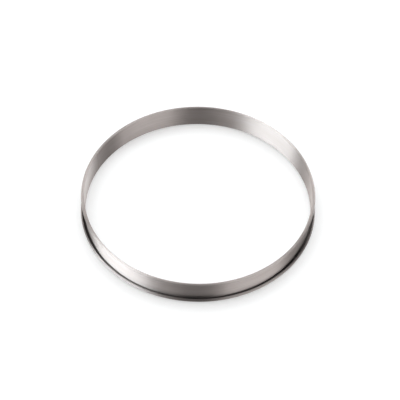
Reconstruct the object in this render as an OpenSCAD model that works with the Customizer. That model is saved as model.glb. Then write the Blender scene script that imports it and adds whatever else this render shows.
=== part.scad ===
// Quiche ring: one strip of stainless steel bent round, butt-welded and planished flush.
// Both long edges are rolled outwards into a hollow, open bead. There is no bottom.
// The origin is the middle of the ring, on the surface that it stands on.

/* [Ring] */
// Inside diameter, the size of the quiche
inner_d = 240; // [120:5:320]
// Height from the surface to the top of the rim
ring_h = 27; // [18:0.5:60]
// Thickness of the steel sheet
sheet_t = 0.6; // [0.4:0.05:1]

/* [Rolled edges] */
// Outside diameter of the bead along the rim
rim_bead_d = 3.5; // [3:0.1:6]
// Outside diameter of the bead along the foot
foot_bead_d = 5; // [3:0.1:7]
// Degrees that each edge is rolled through, from the wall to the end of the sheet
curl_turn = 240; // [190:5:300]

/* [Hidden] */
// Facets of one turn of the ring and of one turn of a bead
ring_facets = 240;
bead_facets = 48;
inner_r = inner_d / 2;
rim_bead_r = rim_bead_d / 2;
foot_bead_r = foot_bead_d / 2;
// Degrees of a bead's circle that its curl leaves open, next to the wall
open_turn = 360 - curl_turn;

// The part of a bead's circle that the curl leaves open: a wedge that starts at the
// middle's left, where the wall meets the bead, and turns up and over to the sheet's end
module opening_wedge(bead_r) {
    reach = 2 * bead_r;
    polygon([
        [0, 0],
        [-reach, 0],
        [-reach, reach],
        [-reach * cos(open_turn), reach * sin(open_turn)],
    ]);
}

// Section of the foot's curl about the bead's middle. The wall comes down its left side,
// goes under and up the outside, and the sheet ends there, short of the top.
module curl_section(bead_r) {
    difference() {
        circle(r = bead_r, $fn = bead_facets);
        circle(r = bead_r - sheet_t, $fn = bead_facets);
        opening_wedge(bead_r);
    }
}

// Section of the whole strip, with radius along X and height along Y
module strip_section() {
    translate([inner_r, foot_bead_r])
        square([sheet_t, ring_h - foot_bead_r - rim_bead_r]);
    translate([inner_r + foot_bead_r, foot_bead_r])
        curl_section(foot_bead_r);
    translate([inner_r + rim_bead_r, ring_h - rim_bead_r])
        mirror([0, 1])
            curl_section(rim_bead_r);
}

module quiche_ring() {
    color("silver")
        rotate_extrude($fn = ring_facets)
            strip_section();
}

quiche_ring();
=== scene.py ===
import math

import bpy
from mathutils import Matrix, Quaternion, Vector


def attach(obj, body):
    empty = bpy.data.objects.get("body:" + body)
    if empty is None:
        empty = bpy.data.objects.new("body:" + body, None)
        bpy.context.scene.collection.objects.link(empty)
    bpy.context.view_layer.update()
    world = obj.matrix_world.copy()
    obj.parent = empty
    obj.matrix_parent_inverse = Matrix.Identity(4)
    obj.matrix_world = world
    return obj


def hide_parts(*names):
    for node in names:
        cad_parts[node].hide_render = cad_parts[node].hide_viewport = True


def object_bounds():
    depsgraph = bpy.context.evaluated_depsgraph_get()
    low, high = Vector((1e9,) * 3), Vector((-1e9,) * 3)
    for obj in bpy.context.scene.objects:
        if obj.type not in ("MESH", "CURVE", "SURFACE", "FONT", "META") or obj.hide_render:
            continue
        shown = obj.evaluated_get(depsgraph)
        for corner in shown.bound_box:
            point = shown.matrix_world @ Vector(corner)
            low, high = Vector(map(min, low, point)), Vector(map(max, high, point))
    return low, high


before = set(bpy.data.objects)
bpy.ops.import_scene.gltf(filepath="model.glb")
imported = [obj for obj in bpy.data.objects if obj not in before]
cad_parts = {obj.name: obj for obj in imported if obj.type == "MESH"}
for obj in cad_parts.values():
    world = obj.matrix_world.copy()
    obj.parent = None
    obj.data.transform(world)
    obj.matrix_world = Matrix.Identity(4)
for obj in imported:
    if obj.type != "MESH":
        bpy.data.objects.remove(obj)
cad_low, cad_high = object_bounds()

# Camera: it looks down on the ring at the photograph's angle, from a little over a metre away.
# The ring's middle lies a little left of and above the middle of the picture.
camera_elevation = math.radians(50.3)
camera_distance = 1.3
camera_roll = math.radians(1.07)
camera_lens = 110.1
aim_right = 0.0020
aim_down = 0.0014

ring_middle = (cad_low + cad_high) / 2
camera_back = Vector((0, -math.cos(camera_elevation), math.sin(camera_elevation)))
camera_up = Vector((0, math.sin(camera_elevation), math.cos(camera_elevation)))
aim_point = ring_middle + Vector((aim_right, 0, 0)) - camera_up * aim_down
bpy.ops.object.camera_add(location=aim_point + camera_back * camera_distance)
camera = bpy.context.object
camera.name = "camera"
camera.data.lens = camera_lens
camera.data.sensor_width = 36
camera.rotation_mode = "QUATERNION"
camera_aim = (-camera_back).to_track_quat("-Z", "Y")
camera.rotation_quaternion = camera_aim @ Quaternion((0, 0, 1), camera_roll)
bpy.context.scene.camera = camera

# Ring: a strip of stainless sheet bent round and butt-welded, with both edges rolled outwards
# into hollow, open beads. One face of the strip is extruded and rolled first, the one inside the
# ring and outside its beads. The sheet's thickness then goes on its other side.
inner_r = 0.120
sheet_t = 0.0006
rim_bead_r = 0.00175
foot_bead_r = 0.0025
curl_turn = math.radians(240)
weld_azimuth = math.radians(156)
turn_facets = 360
wall_steps = 8
curl_steps = 24
edge_round = 0.0001
same_place = 1e-6

bpy.ops.object.select_all(action="DESELECT")
bpy.ops.mesh.primitive_circle_add(
    vertices=turn_facets, radius=inner_r, location=(0, 0, foot_bead_r), rotation=(0, 0, weld_azimuth)
)
ring = bpy.context.object
ring.name = "quiche_ring_steel"
bpy.ops.object.transform_apply(location=True, rotation=True, scale=True)


def select_loop(height):
    """Selects only the vertices at one height."""
    bpy.ops.mesh.select_all(action="DESELECT")
    bpy.ops.object.mode_set(mode="OBJECT")
    for vertex in ring.data.vertices:
        vertex.select = abs(vertex.co.z - height) < same_place
    bpy.ops.object.mode_set(mode="EDIT")


def extrude_loop(radius_from, radius_to, rise):
    """Extrudes the selected loop upwards by rise and onto another radius."""
    bpy.ops.mesh.extrude_edges_move(TRANSFORM_OT_translate={"value": (0, 0, rise)})
    factor = radius_to / radius_from
    bpy.ops.transform.resize(value=(factor, factor, 1), center_override=(0, 0, 0))


def roll_edge(bead_r, side):
    """Rolls the selected loop outwards round a bead, upwards for side 1 and downwards for side -1."""
    step = curl_turn / curl_steps
    for k in range(curl_steps):
        before = inner_r + bead_r * (1 - math.cos(step * k))
        after = inner_r + bead_r * (1 - math.cos(step * (k + 1)))
        rise = side * bead_r * (math.sin(step * (k + 1)) - math.sin(step * k))
        extrude_loop(before, after, rise)


wall_top = cad_high.z - rim_bead_r
bpy.ops.object.mode_set(mode="EDIT")
bpy.ops.mesh.select_mode(type="VERT")
bpy.ops.mesh.select_all(action="SELECT")
for k in range(wall_steps):
    extrude_loop(inner_r, inner_r, (wall_top - foot_bead_r) / wall_steps)
roll_edge(rim_bead_r, 1)
select_loop(foot_bead_r)
roll_edge(foot_bead_r, -1)
bpy.ops.mesh.select_all(action="SELECT")
bpy.ops.mesh.remove_doubles(threshold=same_place)
bpy.ops.mesh.normals_make_consistent(inside=False)
bpy.ops.object.mode_set(mode="OBJECT")

thickness = ring.modifiers.new("sheet thickness", "SOLIDIFY")
thickness.thickness = sheet_t
thickness.offset = -1
thickness.use_even_offset = True
bpy.ops.object.modifier_apply(modifier=thickness.name)
rounding = ring.modifiers.new("rounded sheet edge", "BEVEL")
rounding.width = edge_round
rounding.segments = 2
rounding.limit_method = "ANGLE"
rounding.angle_limit = math.radians(60)
bpy.ops.object.modifier_apply(modifier=rounding.name)
bpy.ops.object.shade_smooth_by_angle(angle=math.radians(50))


def across_strip(point):
    """How far a point lies across the strip from the foot end of its wall, positive upwards."""
    out = math.hypot(point.x, point.y) - inner_r
    if foot_bead_r <= point.z <= wall_top and out < 2 * sheet_t:
        return point.z - foot_bead_r
    if point.z > cad_high.z / 2:
        turned = math.atan2(point.z - wall_top, rim_bead_r - out) % (2 * math.pi)
        return wall_top - foot_bead_r + rim_bead_r * turned
    turned = math.atan2(foot_bead_r - point.z, foot_bead_r - out) % (2 * math.pi)
    return -foot_bead_r * turned


def inside_curl(point):
    """Whether a point lies on the inside of a curl, in the hollow of its bead."""
    out = math.hypot(point.x, point.y) - inner_r
    bead_r, bead_z = foot_bead_r, foot_bead_r
    if point.z > cad_high.z / 2:
        bead_r, bead_z = rim_bead_r, wall_top
    return math.hypot(out - bead_r, point.z - bead_z) < bead_r - sheet_t / 2


strip_map = ring.data.uv_layers.new(name="strip")
# The hollow attribute marks the faces inside the curls, which the steel paints darker as painted
# shade.
hollow = ring.data.attributes.new("hollow", "FLOAT", "FACE")
for face in ring.data.polygons:
    middle = face.center
    hollow.data[face.index].value = inside_curl(middle)
    middle_turn = (math.atan2(middle.y, middle.x) - weld_azimuth) % (2 * math.pi)
    for corner in face.loop_indices:
        point = ring.data.vertices[ring.data.loops[corner].vertex_index].co
        turn = (math.atan2(point.y, point.x) - weld_azimuth) % (2 * math.pi)
        turn += 2 * math.pi * round((middle_turn - turn) / (2 * math.pi))
        strip_map.data[corner].uv = (turn * inner_r, across_strip(point))


class Wire:
    """A shader socket in plain maths: each operator adds the Math node for it."""

    def __init__(self, shader, socket):
        self.shader = shader
        self.socket = socket

    def output(self, name):
        """Another output of the same node."""
        return Wire(self.shader, self.socket.node.outputs[name])

    def __add__(self, other):
        return self.shader.maths("ADD", self, other)

    def __radd__(self, other):
        return self.shader.maths("ADD", other, self)

    def __sub__(self, other):
        return self.shader.maths("SUBTRACT", self, other)

    def __rsub__(self, other):
        return self.shader.maths("SUBTRACT", other, self)

    def __mul__(self, other):
        return self.shader.maths("MULTIPLY", self, other)

    def __rmul__(self, other):
        return self.shader.maths("MULTIPLY", other, self)


class Shader:
    """The node tree of a material or of the world, emptied, with one method that adds any node."""

    def __init__(self, owner):
        owner.use_nodes = True
        self.tree = owner.node_tree
        self.tree.nodes.clear()

    def node(self, kind, settings=None, sockets=None):
        """Adds a node, makes its settings, then fills its sockets, and gives its first output."""
        made = self.tree.nodes.new(kind)
        for name, value in (settings or {}).items():
            setattr(made, name, value)
        for name, value in (sockets or {}).items():
            if isinstance(value, Wire):
                self.tree.links.new(value.socket, made.inputs[name])
            else:
                made.inputs[name].default_value = value
        return Wire(self, made.outputs[0]) if len(made.outputs) else None

    def maths(self, operation, *values):
        return self.node("ShaderNodeMath", {"operation": operation}, dict(enumerate(values)))


steel = bpy.data.materials.new("brushed_stainless_steel")
shader = Shader(steel)
on_strip = shader.node("ShaderNodeUVMap", {"uv_map": "strip"})
strip = shader.node("ShaderNodeSeparateXYZ", {}, {"Vector": on_strip})
along = strip.output("X")
across = strip.output("Y")


def grain(length, width, detail):
    """Noise drawn out along the strip, with grains of about this length and width."""
    steps = {"X": along * (1 / length), "Y": across * (1 / width)}
    place = shader.node("ShaderNodeCombineXYZ", {}, steps)
    return shader.node("ShaderNodeTexNoise", {}, {"Vector": place, "Scale": 1.0, "Detail": detail})


hairlines = grain(length=0.025, width=0.00018, detail=2.0)
streaks = grain(length=0.090, width=0.0016, detail=3.0)
clouds = grain(length=0.045, width=0.012, detail=2.0)


def mask(value, start, end):
    """A smooth mask that rises from 0 where a value is at its start to 1 where it is at its end."""
    return shader.node(
        "ShaderNodeMapRange",
        {"interpolation_type": "SMOOTHSTEP"},
        {"Value": value, "From Min": start, "From Max": end},
    )


def blend(factor, under, over):
    """One colour laid over another. Inputs 6 and 7 and output 2 are the Mix node's colours."""
    sockets = {"Factor": factor, 6: under, 7: over}
    return shader.node("ShaderNodeMix", {"data_type": "RGBA"}, sockets).output(2)


bead_blend = 0.0012
weld_core = 0.0003
weld_reach = 0.0009
wall_width = wall_top - foot_bead_r
on_rim = mask(across, wall_width, wall_width + bead_blend)
on_foot = mask(across, 0.0, -bead_blend)
in_curl = shader.node("ShaderNodeAttribute", {"attribute_name": "hollow"}).output("Fac")
strip_length = 2 * math.pi * inner_r
from_weld = shader.maths("MINIMUM", along, strip_length - along)
on_weld = mask(from_weld, weld_reach, weld_core)

steel_dark = (0.217, 0.189, 0.180, 1)
steel_light = (0.396, 0.355, 0.340, 1)
# A dark steel tone used only as painted shade, on the foot bead and inside the curls.
painted_shade_steel = (0.120, 0.105, 0.100, 1)
heat_tint = (0.220, 0.185, 0.155, 1)
streak_share = 0.5
foot_painted_shade = 0.35
weld_tint = 0.4
colour = blend(streaks * streak_share + clouds * (1 - streak_share), steel_dark, steel_light)
# Painted shade: the foot bead, down by the board, is painted a shade darker than the wall.
colour = blend(on_foot * foot_painted_shade, colour, painted_shade_steel)
# Painted shade: the inside of each curl, in the hollow of its bead, is painted darker.
colour = blend(in_curl, colour, painted_shade_steel)
colour = blend(on_weld * weld_tint, colour, heat_tint)

wall_roughness = 0.50
rim_roughness = 0.54
foot_roughness = 0.58
streak_roughness = 0.06
roughness = wall_roughness + (rim_roughness - wall_roughness) * on_rim
roughness = roughness + (foot_roughness - wall_roughness) * on_foot
roughness = roughness + streak_roughness * (streaks - 0.5)

brush_depth = 0.00002
hairline_share = 0.6
brushing = hairlines * hairline_share + streaks * (1 - hairline_share)
relief = shader.node(
    "ShaderNodeBump", {}, {"Strength": 0.15, "Distance": brush_depth, "Height": brushing}
)
surface = shader.node(
    "ShaderNodeBsdfPrincipled",
    {},
    {
        "Base Color": colour,
        "Metallic": 1.0,
        "Roughness": roughness,
        "Anisotropic": 1.0,
        "Anisotropic Rotation": 0.25,
        "Normal": relief,
    },
)
shader.node("ShaderNodeOutputMaterial", {}, {"Surface": surface})
ring.data.materials.append(steel)
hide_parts("quiche_ring")
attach(ring, "root")

# Floor: a plain white board that the ring stands on, wide enough to have no edge in any view.
# Its matte paint takes the ring's shadow, and a faint glow brings what is seen of it to white.
floor_size = 12.0
floor_white = (0.68, 0.68, 0.68, 1)
near_glow = 0.33
far_glow = 0.55
near_edge = 0.3
far_edge = 1.5
bpy.ops.object.select_all(action="DESELECT")
bpy.ops.mesh.primitive_plane_add(size=floor_size, location=(0, 0, 0))
floor = bpy.context.object
floor.name = "floor"
paint = bpy.data.materials.new("white_board")
shader = Shader(paint)
rays = shader.node("ShaderNodeLightPath")
seen = rays.output("Is Camera Ray") + rays.output("Is Glossy Ray") + rays.output("Is Transmission Ray")
matte = shader.node("ShaderNodeBsdfDiffuse", {}, {"Color": floor_white})
place = shader.node("ShaderNodeTexCoord").output("Object")
away = shader.node("ShaderNodeVectorMath", {"operation": "LENGTH"}, {0: place}).output("Value")
strength = shader.node(
    "ShaderNodeMapRange",
    {},
    {
        "Value": away,
        "From Min": near_edge,
        "From Max": far_edge,
        "To Min": near_glow,
        "To Max": far_glow,
    },
)
glow = shader.node("ShaderNodeEmission", {}, {"Strength": seen * strength})
surface = shader.node("ShaderNodeAddShader", {}, {0: matte, 1: glow})
shader.node("ShaderNodeOutputMaterial", {}, {"Surface": surface})
floor.data.materials.append(paint)

# Surroundings: an even white studio, which is white where it is seen or shows in the steel
# and lights the board a little less than that.
studio_light = 0.78
world = bpy.data.worlds.new("white_studio")
bpy.context.scene.world = world
shader = Shader(world)
rays = shader.node("ShaderNodeLightPath")
seen = rays.output("Is Camera Ray") + rays.output("Is Glossy Ray") + rays.output("Is Transmission Ray")
strength = studio_light + (1 - studio_light) * seen
sky = shader.node("ShaderNodeBackground", {}, {"Color": (1, 1, 1, 1), "Strength": strength})
shader.node("ShaderNodeOutputWorld", {}, {"Surface": sky})

# Softboxes: the one above and behind lights the board. The others show only in the steel, where
# the strong one on the left makes the white stretches, and the weaker ones the grey stretches.


def standing_at(bearing, distance, height):
    """A place round the ring, by its bearing in degrees from the camera's side to the right."""
    turn = math.radians(bearing)
    return Vector((distance * math.sin(turn), -distance * math.cos(turn), height))


def add_softbox(name, bearing, distance, height, size, radiance, colour, lights_board=False):
    """Adds an area light that faces the ring, to light the board or else to show in the steel."""
    place = standing_at(bearing, distance, height)
    bpy.ops.object.light_add(type="AREA", location=place)
    softbox = bpy.context.object
    softbox.name = name
    softbox.data.shape = "RECTANGLE"
    softbox.data.size, softbox.data.size_y = size
    softbox.data.energy = radiance * math.pi * size[0] * size[1]
    softbox.rotation_euler = place.to_track_quat("Z", "Y").to_euler()
    softbox.data.color = colour
    softbox.visible_camera = False
    softbox.visible_diffuse = lights_board
    softbox.visible_glossy = not lights_board


neutral = (0.95, 0.99, 1.0)
cool = (0.86, 0.96, 1.0)
add_softbox("softbox_above", -168, 1.2, 3.9, (4.2, 2.6), 2.6, neutral, lights_board=True)
add_softbox("softbox_left", -73, 2.6, 2.0, (2.75, 1.8), 16.5, cool)
add_softbox("softbox_right", 49, 3.0, 0.95, (3.0, 1.9), 3.9, neutral)
add_softbox("softbox_back_left", -133, 3.0, 1.2, (1.7, 1.8), 3.5, neutral)
add_softbox("softbox_back_right", 127, 0.7, 0.08, (0.36, 0.14), 16.0, cool)
add_softbox("softbox_back", 160, 2.1, 3.5, (2.4, 2.5), 4.2, neutral)

# Black cards: the steel shows the tall one behind the camera as its dark front and back, and the
# ones at the sides as the dark ends of its stretches. The board and the picture don't see them.
card_black = (0.02, 0.02, 0.02, 1)
cards = {
    "card_camera": (0, 3.0, 1.6, 6.5),
    "card_right": (103, 0.36, 0.21, 0.7),
    "card_left": (-108, 3.0, 0.9, 0.9),
}
felt = bpy.data.materials.new("black_card")
shader = Shader(felt)
surface = shader.node("ShaderNodeBsdfDiffuse", {}, {"Color": card_black})
shader.node("ShaderNodeOutputMaterial", {}, {"Surface": surface})
for name, (bearing, distance, width, height) in cards.items():
    bpy.ops.object.select_all(action="DESELECT")
    bpy.ops.mesh.primitive_plane_add(size=1, location=(0, 0, 0))
    card = bpy.context.object
    card.name = name
    card.scale = (width, height, 1)
    card.rotation_euler = (math.pi / 2, 0, math.radians(bearing))
    card.location = standing_at(bearing, distance, height / 2)
    card.visible_camera = False
    card.visible_diffuse = False
    card.visible_shadow = False
    card.data.materials.append(felt)

bpy.context.scene.view_settings.view_transform = "Standard"
